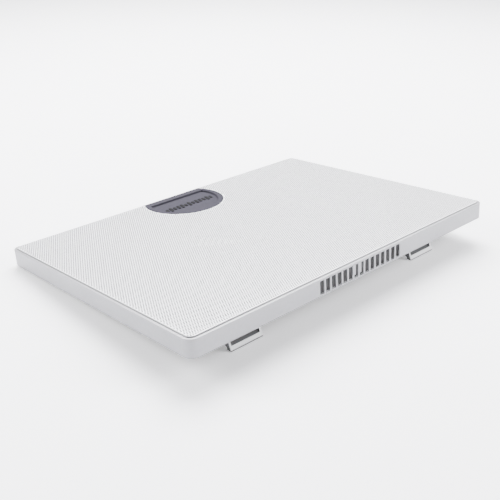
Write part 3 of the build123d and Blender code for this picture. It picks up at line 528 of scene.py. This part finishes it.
def perforation_tree():
    """Nodes that lay hexagonal cells of sheet, each with a hole, on staggered rows inside an outline."""
    tree = bpy.data.node_groups.new("Perforated sheet", "GeometryNodeTree")
    for name, kind in PERFORATION_INPUTS:
        tree.interface.new_socket(name=name, in_out="INPUT", socket_type=kind)
    tree.interface.new_socket(name="Geometry", in_out="OUTPUT", socket_type="NodeSocketGeometry")
    given = add_node(tree, "NodeGroupInput").outputs
    pitch = given["Pitch"]
    row_step = maths(tree, "MULTIPLY", pitch, sqrt(3) / 2)

    # One cell: a hexagon with a hole, filled, thickened, and left open at its six outer sides
    hexagon = add_node(
        tree, "GeometryNodeCurvePrimitiveCircle",
        {"Resolution": 6, "Radius": maths(tree, "DIVIDE", pitch, sqrt(3))}, mode="RADIUS",
    )
    upright = add_node(
        tree, "GeometryNodeTransform", {"Geometry": hexagon.outputs["Curve"], "Rotation": (0, 0, pi / 6)}
    )
    hole_radius = maths(tree, "MULTIPLY", given["Hole Diameter"], 0.5)
    hole = add_node(
        tree, "GeometryNodeCurvePrimitiveCircle",
        {"Resolution": HOLE_SIDES, "Radius": hole_radius}, mode="RADIUS",
    )
    outlines = add_node(tree, "GeometryNodeJoinGeometry")
    tree.links.new(upright.outputs["Geometry"], outlines.inputs["Geometry"])
    tree.links.new(hole.outputs["Curve"], outlines.inputs["Geometry"])
    filled = add_node(
        tree, "GeometryNodeFillCurve", {"Curve": outlines.outputs["Geometry"]}, mode="TRIANGLES"
    )
    lowered = add_node(
        tree, "GeometryNodeTransform",
        {
            "Geometry": filled.outputs["Mesh"],
            "Translation": vector_maths(
                tree, "MULTIPLY", (0, 0, -1), combine(tree, 0, 0, given["Thickness"])
            ),
        },
    )
    raised = add_node(
        tree, "GeometryNodeExtrudeMesh",
        {"Mesh": lowered.outputs["Geometry"], "Offset Scale": given["Thickness"], "Individual": False},
        mode="FACES",
    )
    here = add_node(tree, "GeometryNodeInputPosition").outputs["Position"]
    from_axis = vector_maths(
        tree, "LENGTH", vector_maths(tree, "MULTIPLY", here, (1, 1, 0)), output="Value"
    )
    between = maths(
        tree, "ADD", maths(tree, "MULTIPLY", pitch, 0.25), maths(tree, "MULTIPLY", hole_radius, 0.5)
    )
    outer_side = add_node(
        tree, "FunctionNodeBooleanMath",
        {0: raised.outputs["Side"], 1: maths(tree, "GREATER_THAN", from_axis, between)}, operation="AND",
    )
    opened = add_node(
        tree, "GeometryNodeDeleteGeometry",
        {"Geometry": raised.outputs["Mesh"], "Selection": outer_side.outputs["Boolean"]},
        domain="FACE", mode="ALL",
    )
    underside = add_node(tree, "GeometryNodeFlipFaces", {"Mesh": lowered.outputs["Geometry"]})
    cell = add_node(tree, "GeometryNodeJoinGeometry")
    tree.links.new(opened.outputs["Geometry"], cell.inputs["Geometry"])
    tree.links.new(underside.outputs["Mesh"], cell.inputs["Geometry"])

    # Staggered rows: every even row is shifted by half a pitch
    rows_less_one = maths(tree, "SUBTRACT", given["Rows"], 1)
    grid = add_node(
        tree, "GeometryNodeMeshGrid",
        {
            "Size X": maths(tree, "MULTIPLY", maths(tree, "SUBTRACT", given["Columns"], 1), pitch),
            "Size Y": maths(tree, "MULTIPLY", rows_less_one, row_step),
            "Vertices X": given["Columns"],
            "Vertices Y": given["Rows"],
        },
    )
    middle_row = maths(tree, "ADD", given["First Row"], maths(tree, "MULTIPLY", rows_less_one, 0.5))
    moved = add_node(
        tree, "GeometryNodeTransform",
        {
            "Geometry": grid.outputs["Mesh"],
            "Translation": combine(tree, 0, maths(tree, "MULTIPLY", middle_row, row_step), 0),
        },
    )
    place = add_node(tree, "GeometryNodeInputPosition").outputs["Position"]
    along = add_node(tree, "ShaderNodeSeparateXYZ", {"Vector": place}).outputs
    row = maths(tree, "ROUND", maths(tree, "DIVIDE", along["Y"], row_step))
    odd = maths(tree, "MODULO", maths(tree, "ABSOLUTE", row), 2)
    shift = maths(tree, "MULTIPLY", maths(tree, "SUBTRACT", 1, odd), maths(tree, "MULTIPLY", pitch, 0.5))
    staggered = add_node(
        tree, "GeometryNodeSetPosition",
        {"Geometry": moved.outputs["Geometry"], "Offset": combine(tree, shift, 0, 0)},
    )

    # Cells too near the outline or the badge's notch are left out
    place = add_node(tree, "GeometryNodeInputPosition").outputs["Position"]
    radius = given["Field Corner Radius"]
    core = combine(
        tree,
        maths(tree, "SUBTRACT", given["Field Half Length"], radius),
        maths(tree, "SUBTRACT", given["Field Half Depth"], radius),
        0,
    )
    beyond = vector_maths(tree, "SUBTRACT", vector_maths(tree, "ABSOLUTE", place), core)
    outside = vector_maths(tree, "LENGTH", vector_maths(tree, "MAXIMUM", beyond, (0, 0, 0)), output="Value")
    parts = add_node(tree, "ShaderNodeSeparateXYZ", {"Vector": beyond}).outputs
    within = maths(tree, "MINIMUM", maths(tree, "MAXIMUM", parts["X"], parts["Y"]), 0)
    signed = maths(tree, "SUBTRACT", maths(tree, "ADD", outside, within), radius)
    near_edge = maths(tree, "GREATER_THAN", signed, maths(tree, "MULTIPLY", given["Edge Distance"], -1))
    to_badge = vector_maths(tree, "DISTANCE", place, given["Notch Centre"], output="Value")
    notch_reach = maths(tree, "ADD", given["Notch Radius"], given["Edge Distance"])
    near_notch = maths(tree, "LESS_THAN", to_badge, notch_reach)
    left_out = add_node(tree, "FunctionNodeBooleanMath", {0: near_edge, 1: near_notch}, operation="OR")
    kept = add_node(
        tree, "GeometryNodeDeleteGeometry",
        {"Geometry": staggered.outputs["Geometry"], "Selection": left_out.outputs["Boolean"]},
        domain="POINT", mode="ALL",
    )
    laid = add_node(
        tree, "GeometryNodeInstanceOnPoints",
        {"Points": kept.outputs["Geometry"], "Instance": cell.outputs["Geometry"]},
    )
    real = add_node(tree, "GeometryNodeRealizeInstances", {"Geometry": laid.outputs["Instances"]})
    joined = add_node(
        tree, "GeometryNodeMergeByDistance",
        {"Geometry": real.outputs["Geometry"], "Distance": maths(tree, "MULTIPLY", pitch, 0.01)},
    )
    coated = add_node(
        tree, "GeometryNodeSetMaterial",
        {"Geometry": joined.outputs["Geometry"], "Material": given["Material"]},
    )
    result = add_node(tree, "NodeGroupOutput")
    tree.links.new(coated.outputs["Geometry"], result.inputs["Geometry"])
    return tree


def combine(tree, x, y, z):
    return add_node(tree, "ShaderNodeCombineXYZ", {"X": x, "Y": y, "Z": z}).outputs["Vector"]


def mesh_from_nodes(tree, values):
    """The plain mesh that a node tree gives for these named inputs."""
    carrier = bpy.data.objects.new("carrier", bpy.data.meshes.new("carrier"))
    bpy.context.scene.collection.objects.link(carrier)
    modifier = carrier.modifiers.new("nodes", "NODES")
    modifier.node_group = tree
    for item in tree.interface.items_tree:
        if item.in_out == "INPUT" and item.name in values:
            modifier[item.identifier] = values[item.name]
    graph = bpy.context.evaluated_depsgraph_get()
    mesh = bpy.data.meshes.new_from_object(carrier.evaluated_get(graph), depsgraph=graph)
    carrier.modifiers.remove(modifier)
    bpy.data.objects.remove(carrier)
    return mesh


class Outline:
    """The perforated field's edge: a rectangle with round corners, less the badge's round notch."""

    def __init__(self, sheet, badge):
        self.half = np.array([SHEET_LENGTH, SHEET_DEPTH]) / 2 - sheet.land
        self.corner = max(sheet.corner - sheet.land, MM)
        self.notch_radius = badge.radius
        self.notch_centre = np.array([0, badge.depth - badge.radius - SHEET_DEPTH / 2])
        self.clear = sheet.hole / 2 + sheet.web

    def from_edge(self, points):
        """Signed distance from the rounded rectangle, negative inside."""
        beyond = np.abs(points) - (self.half - self.corner)
        outside = np.hypot(*np.maximum(beyond, 0).T)
        return outside + np.minimum(beyond.max(axis=1), 0) - self.corner

    def from_notch(self, points):
        return np.hypot(*(points - self.notch_centre).T) - self.notch_radius

    def on_edge(self, points):
        """Each point moved to the nearest place on the rounded rectangle."""
        sign = np.where(points < 0, -1.0, 1.0)
        size = np.abs(points)
        core = self.half - self.corner
        beyond = size - core
        in_corner = (beyond > 0).all(axis=1)
        reach = np.maximum(np.hypot(*beyond.T), 1e-9)[:, None]
        round_place = core + beyond / reach * self.corner
        to_side = self.half - size
        side = size.copy()
        nearer = to_side.argmin(axis=1)
        side[np.arange(len(side)), nearer] = self.half[nearer]
        return sign * np.where(in_corner[:, None], round_place, side)

    def on_notch(self, points):
        """Each point moved to the nearest place on the notch, or to where the notch meets the edge."""
        arm = points - self.notch_centre
        place = self.notch_centre + arm / np.hypot(*arm.T)[:, None] * self.notch_radius
        front = -self.half[1]
        half_chord = sqrt(self.notch_radius**2 - (front - self.notch_centre[1]) ** 2)
        meeting = np.stack([np.where(points[:, 0] < 0, -1, 1) * half_chord, np.full(len(points), front)], 1)
        return np.where((place[:, 1] < front)[:, None], meeting, place)


def cell_centres(points, pitch):
    """The nearest cell centre of each point: rows half a pitch out of step, as the nodes lay them."""
    step = pitch * sqrt(3) / 2
    best, least = np.zeros_like(points), np.full(len(points), np.inf)
    for extra in (0, 1):
        row = np.floor(points[:, 1] / step) + extra
        offset = np.where(np.mod(row, 2) == 0, 0.0, 0.5)
        column = np.round(points[:, 0] / pitch - offset) + offset
        centre = np.stack([column * pitch, row * step], 1)
        away = np.hypot(*(points - centre).T)
        nearer = away < least
        best[nearer], least[nearer] = centre[nearer], away[nearer]
    return best, least


def trim_to_outline(mesh, outline, pitch, hole_radius):
    """Moves the outermost corners of the outermost cells onto the field's edge."""
    count = len(mesh.vertices)
    flat = np.empty(count * 3)
    mesh.vertices.foreach_get("co", flat)
    places = flat.reshape(-1, 3)
    points = places[:, :2]
    centre, away = cell_centres(points, pitch)
    reach = pitch / sqrt(3)
    corner = np.flatnonzero(away > (hole_radius + reach) / 2)
    arm = centre[corner] - points[corner]
    start = np.arctan2(arm[:, 1], arm[:, 0])
    at_edge = np.zeros(len(corner), bool)
    at_notch = np.zeros(len(corner), bool)
    for turn in (0, 2 * pi / 3, 4 * pi / 3):
        angle = start + turn
        around = points[corner] + reach * np.stack([np.cos(angle), np.sin(angle)], 1)
        at_edge |= outline.from_edge(around) > -outline.clear
        at_notch |= outline.from_notch(around) < outline.clear
    moved = points[corner].copy()
    moved[at_edge] = outline.on_edge(moved[at_edge])
    moved[at_notch] = outline.on_notch(moved[at_notch])
    places[corner, :2] = moved
    mesh.vertices.foreach_set("co", places.ravel())
    mesh.update()


class PAD_OT_sheet(bpy.types.Operator):
    """Lays the perforated field of the sheet, in strips that meet between rows of holes"""

    bl_idname = "cooling_pad.sheet"
    bl_label = "Perforated sheet"

    def execute(self, context):
        sheet, badge = settings("pad_sheet"), settings("pad_badge")
        outline = Outline(sheet, badge)
        tree = perforation_tree()
        step = sheet.pitch * sqrt(3) / 2
        last_row = int((outline.half[1] - outline.clear) / step)
        columns = 2 * ceil(outline.half[0] / sheet.pitch)
        rows = 2 * last_row + 1
        strips = np.linspace(0, rows, sheet.tiles + 1).round().astype(int)
        tiles = []
        for number, (first, end) in enumerate(zip(strips, strips[1:]), 1):
            values = {
                "Columns": columns,
                "Rows": int(end - first),
                "First Row": int(first) - last_row,
                "Pitch": sheet.pitch,
                "Hole Diameter": sheet.hole,
                "Thickness": sheet.thickness,
                "Field Half Length": float(outline.half[0]),
                "Field Half Depth": float(outline.half[1]),
                "Field Corner Radius": float(outline.corner),
                "Notch Radius": outline.notch_radius,
                "Notch Centre": (0.0, float(outline.notch_centre[1]), 0.0),
                "Edge Distance": float(outline.clear),
                # this material carries painted shade on the holes' walls
                "Material": FINISHES["punched_sheet_painted_shade"],
            }
            mesh = mesh_from_nodes(tree, values)
            trim_to_outline(mesh, outline, sheet.pitch, sheet.hole / 2)
            tile = finished_piece(f"sheet_field_{number}", mesh, "root")
            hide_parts("top_mesh")
            tiles.append(len(mesh.polygons))
        if not all(tiles):
            raise RuntimeError("a strip of the sheet came out empty")
        return {"FINISHED"}


def edge_places(half, corner, arc_steps):
    """(point, outward direction) round a rounded rectangle, anticlockwise from the middle of its front."""
    places = []
    for turn, (sx, sy) in enumerate(((1, -1), (1, 1), (-1, 1), (-1, -1))):
        centre = np.array([sx * (half[0] - corner), sy * (half[1] - corner)])
        for i in range(arc_steps + 1):
            angle = -pi / 2 + (turn + i / arc_steps) * pi / 2
            out = np.array([cos(angle), sin(angle)])
            places.append((centre + corner * out, out))
    return places


def rolled_profile(sheet):
    """The rolled edge's section as (distance in from the sheet's edge, height), all round."""
    bend, thick = sheet.bend, sheet.thickness
    inner = max(bend - thick, 0.1 * MM)
    section = [(sheet.land + 0.3 * MM, -0.02 * MM)]
    for i in range(7):
        angle = i / 6 * pi / 2
        section.append((bend - bend * sin(angle), bend * cos(angle) - bend))
    section += [(0, -sheet.skirt), (thick, -sheet.skirt)]
    for i in range(5):
        angle = (1 - i / 4) * pi / 2
        section.append((bend - inner * sin(angle), inner * cos(angle) - bend))
    section.append((sheet.land + 0.3 * MM, -thick))
    return section


class PAD_OT_sheet_edge(bpy.types.Operator):
    """Rolls the sheet's edge down all round, and trims the notch for the badge"""

    bl_idname = "cooling_pad.sheet_edge"
    bl_label = "Rolled edge"

    def execute(self, context):
        sheet, badge = settings("pad_sheet"), settings("pad_badge")
        outline = Outline(sheet, badge)
        half = np.array([SHEET_LENGTH, SHEET_DEPTH]) / 2
        chord = sqrt(badge.radius**2 - (half[1] + outline.notch_centre[1]) ** 2)
        front = np.array([0.0, -1.0])
        path = [(np.array([chord, -half[1]]), front)]
        path += edge_places(half, sheet.corner, 10)
        path.append((np.array([-chord, -half[1]]), front))
        section = rolled_profile(sheet)
        rings = [[(*(p - inset * out), z) for inset, z in section] for p, out in path]
        mesh = loft(rings)
        # painted shade: the rolled edge takes a darker copy of the sheet's coat
        piece = finished_piece(
            "sheet_rolled_edge", mesh, "root", FINISHES["rolled_edge_painted_shade"], radians(35)
        )
        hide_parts("top_mesh")

        # The notch's own plain edge
        start = np.arctan2(-half[1] - outline.notch_centre[1], chord)
        steps = 72
        rings = []
        for i in range(steps + 1):
            angle = start + (pi - 2 * start) * i / steps
            out = np.array([cos(angle), sin(angle)])
            near = outline.notch_centre + out * badge.radius
            far = outline.notch_centre + out * (badge.radius + 0.35 * MM)
            top, under = -0.02 * MM, -sheet.thickness
            rings.append([(*near, top), (*far, top), (*far, under), (*near, under)])
        piece = finished_piece(
            "sheet_notch_edge", loft(rings), "root", FINISHES["sheet_metal"], radians(35)
        )
        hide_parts("top_mesh")
        return {"FINISHED"}


# ---------------------------------------------------------------- badge


def badge_ring(badge, inset, front_inset, height):
    """A disc's edge, cut off straight in front, as a ring of points."""
    radius = badge.radius - badge.gap - inset
    centre = badge.depth - badge.radius - SHEET_DEPTH / 2
    front = front_inset - SHEET_DEPTH / 2
    start = -np.arcsin((centre - front) / radius)
    arc, chord = 96, 24
    ring = []
    for i in range(arc + 1):
        angle = start + (pi - 2 * start) * i / arc
        ring.append((radius * cos(angle), centre + radius * sin(angle), height))
    left, right = ring[-1][0], ring[0][0]
    ring += [(left + (right - left) * i / chord, front, height) for i in range(1, chord)]
    return ring


class PAD_OT_badge(bpy.types.Operator):
    """Forms the badge: a rim that rolls over the front edge and a shallow dish behind it"""

    bl_idname = "cooling_pad.badge"
    bl_label = "Badge"

    def execute(self, context):
        badge = settings("pad_badge")
        top = badge.relief
        floor = top - badge.dish
        fall, side_round, front_round = 1.5 * MM, 0.55 * MM, 2.6 * MM
        rings = [badge_ring(badge, 0, 0, top - 1.4 * fall)]
        for i in range(8):
            angle = i / 7 * pi / 2
            inset = (1 - cos(angle)) * side_round
            front_inset = (1 - cos(angle)) * front_round
            rings.append(badge_ring(badge, inset, front_inset, top - fall + fall * sin(angle)))
        edge = 0.5 * MM
        for i in range(5):
            angle = i / 4 * pi / 2
            out = edge * (1 - sin(angle))
            rings.append(
                badge_ring(badge, badge.rim - out, badge.band - out, top - edge * (1 - cos(angle)))
            )
        slope = 0.35 * MM
        for i in range(6):
            angle = i / 5 * pi / 2
            inset = slope + edge * (1 - cos(angle))
            height = floor + edge * (1 - sin(angle))
            rings.append(badge_ring(badge, badge.rim + inset, badge.band + inset, height))
        rings.append(badge_ring(badge, badge.rim + 4 * MM, badge.band + 4 * MM, floor))
        piece = finished_piece(
            "badge_dish", loft(rings), "root", FINISHES["badge_plastic"], radians(40)
        )
        if pad_box("front_badge")[0][2] > floor:
            raise RuntimeError("the badge's dish is deeper than its body")
        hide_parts("front_badge")
        return {"FINISHED"}


# ---------------------------------------------------------------- stage


class PAD_OT_stage(bpy.types.Operator):
    """Sets the pad on a pale paper floor, with soft lights and a camera"""

    bl_idname = "cooling_pad.stage"
    bl_label = "Stage"

    def execute(self, context):
        stage = settings("pad_stage")
        scene = context.scene
        reach = 6.0  # metres from the middle to the floor's sides
        corners = [(-reach, -reach, 0), (reach, -reach, 0), (reach, reach, 0), (-reach, reach, 0)]
        mesh = mesh_of(corners, [(0, 1, 2, 3)])
        mesh.materials.append(paper_floor("floor paper", tuple(settings("pad_finish").floor)))
        floor = bpy.data.objects.new("floor", mesh)
        scene.collection.objects.link(floor)

        world = bpy.data.worlds.new("studio")
        scene.world = world
        world.use_nodes = True
        tree = world.node_tree
        direction = add_node(tree, "ShaderNodeTexCoord").outputs["Generated"]
        towards_eye = Vector((stage.eye[0], stage.eye[1], 0)).normalized()
        facing = vector_maths(tree, "DOT_PRODUCT", direction, towards_eye, output="Value")
        glow = add_node(
            tree, "ShaderNodeMapRange",
            {"Value": facing, "From Min": -0.2, "From Max": 0.7, "To Min": 0.6, "To Max": 0.04},
            interpolation_type="SMOOTHSTEP",
        )
        sky = tree.nodes["Background"]
        sky.inputs["Color"].default_value = (0.94, 0.94, 1.0, 1)
        tree.links.new(glow.outputs["Result"], sky.inputs["Strength"])

        lamps = [
            ("key", (-0.6, -0.65, 1.4), (0, 0, 0), 1.3, 175),
            ("behind_left", (1.1, -0.95, 0.85), (0.1, 0, 0), 0.7, 60),
            ("behind_right", (-1.0, 1.1, 0.85), (0, 0.1, 0), 0.7, 52),
        ]
        for name, place, aim, width, power in lamps:
            lamp = bpy.data.lights.new(name, "AREA")
            lamp.shape, lamp.size, lamp.energy = "SQUARE", width, power
            holder = bpy.data.objects.new(name, lamp)
            holder.location = place
            holder.rotation_euler = (Vector(aim) - Vector(place)).to_track_quat("-Z", "Y").to_euler()
            scene.collection.objects.link(holder)

        camera = bpy.data.cameras.new("camera")
        camera.lens, camera.sensor_width = stage.lens, 36.0
        camera.clip_start = 0.01
        holder = bpy.data.objects.new("camera", camera)
        eye, aim = PAD @ Vector(stage.eye), PAD @ Vector(stage.aim)
        look = (aim - eye).to_track_quat("-Z", "Y") @ Quaternion((0, 0, 1), stage.roll)
        holder.location, holder.rotation_euler = eye, look.to_euler()
        scene.collection.objects.link(holder)
        scene.camera = holder
        return {"FINISHED"}


# ---------------------------------------------------------------- panel, registration and running

STEPS = [PAD_OT_stage, PAD_OT_finishes, PAD_OT_sheet, PAD_OT_sheet_edge, PAD_OT_badge]
GROUPS = {
    "pad_sheet": SheetSettings,
    "pad_badge": BadgeSettings,
    "pad_finish": FinishSettings,
    "pad_stage": StageSettings,
}


class PAD_PT_panel(bpy.types.Panel):
    """Lists the steps and the settings"""

    bl_label = "Cooling Pad"
    bl_idname = "PAD_PT_panel"
    bl_space_type = "VIEW_3D"
    bl_region_type = "UI"
    bl_category = "Cooling Pad"

    def draw(self, context):
        for name, group in GROUPS.items():
            column = self.layout.box().column()
            for prop in group.__annotations__:
                column.prop(settings(name), prop)
        for step in STEPS:
            self.layout.operator(step.bl_idname)


def register():
    for group in (*GROUPS.values(), *STEPS, PAD_PT_panel):
        bpy.utils.register_class(group)
    for name, group in GROUPS.items():
        setattr(bpy.types.Scene, name, PointerProperty(type=group))


def unregister():
    for name in GROUPS:
        delattr(bpy.types.Scene, name)
    for group in reversed((*GROUPS.values(), *STEPS, PAD_PT_panel)):
        bpy.utils.unregister_class(group)


def main():
    register()
    for step in STEPS:
        area, name = step.bl_idname.split(".")
        getattr(getattr(bpy.ops, area), name)()


if __name__ == "__main__":
    main()
